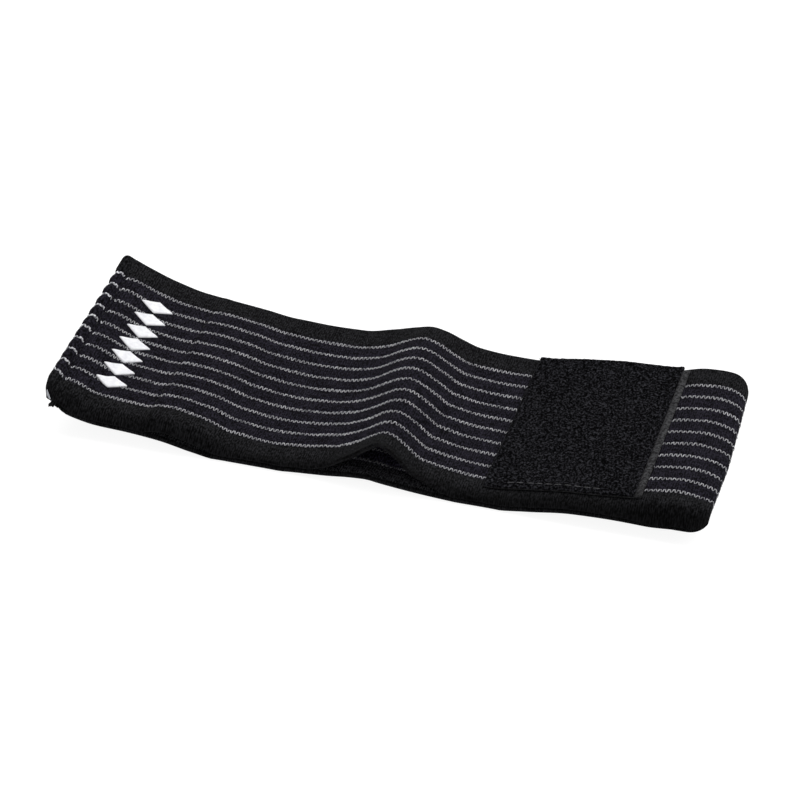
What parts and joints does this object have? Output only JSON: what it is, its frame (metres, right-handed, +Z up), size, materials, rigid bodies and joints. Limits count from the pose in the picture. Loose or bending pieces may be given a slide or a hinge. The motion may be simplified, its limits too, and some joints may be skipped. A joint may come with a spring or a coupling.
{
  "type": "wrist wrap",
  "caption": "Wide elastic wrist wrap, folded in two and lying flat, with a hook tape at its hemmed end and a loop tape on its outer face.",
  "frame": {"origin": "centre of the bounding box's base, on the surface that the wrap lies on", "axes": "+X along the folded band from its hemmed end to its fold, +Y across it towards the back edge, +Z up"},
  "size_m": [0.2134, 0.075, 0.0177],
  "materials": {
    "elastic": "matte woven elastic with lengthwise pale yarns",
    "tape": "smooth woven tape",
    "pile": "fuzzy loop pile",
    "hooks": "nylon hook tape"
  },
  "bodies": {
    "root": {"elastic_band": "elastic", "loop_tape": "tape", "loop_pile": "pile", "hook_tape": "hooks"}
  },
  "joints": []
}
